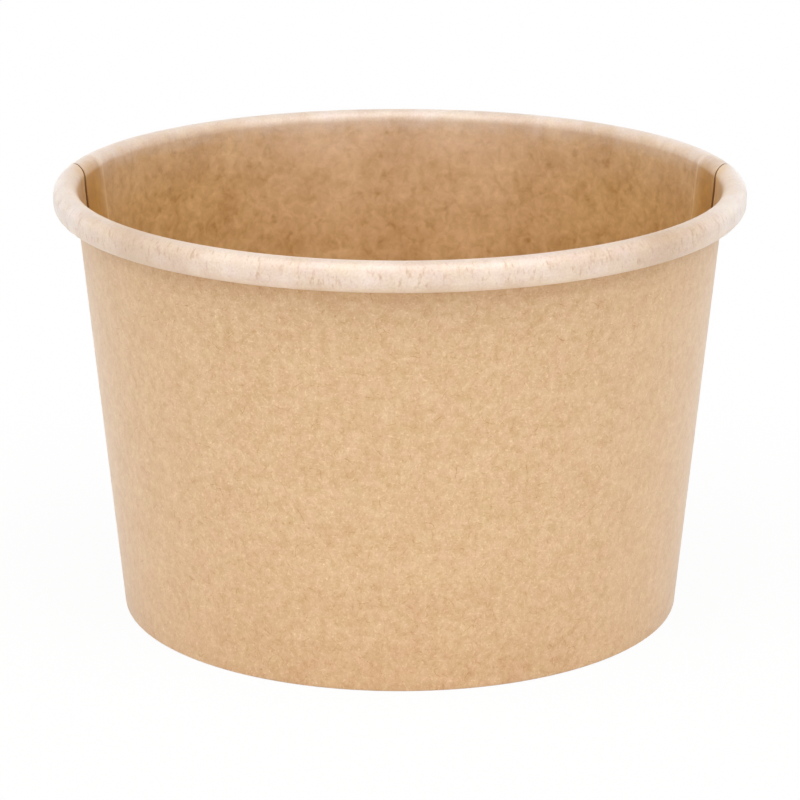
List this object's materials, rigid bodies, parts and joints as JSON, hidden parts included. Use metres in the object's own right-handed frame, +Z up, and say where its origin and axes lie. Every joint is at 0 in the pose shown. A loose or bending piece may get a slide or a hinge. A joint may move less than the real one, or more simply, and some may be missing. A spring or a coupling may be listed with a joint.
{
  "type": "paper soup container",
  "caption": "Round tapered soup container of kraft board, open at the top, with a rolled rim, lapped side seams and a recessed base.",
  "frame": {"origin": "centre of the foot, on the surface that the container stands on", "axes": "+Z up along the container's axis, -Y towards the front, midway between the two side seams"},
  "size_m": [0.09, 0.09, 0.0574],
  "materials": {
    "kraft_board": "matt outside, with a thin clear coating inside",
    "coated_base": "satin coated board"
  },
  "bodies": {
    "root": {"front_wall": "kraft_board", "back_wall": "kraft_board", "base_disc": "coated_base"}
  },
  "joints": []
}
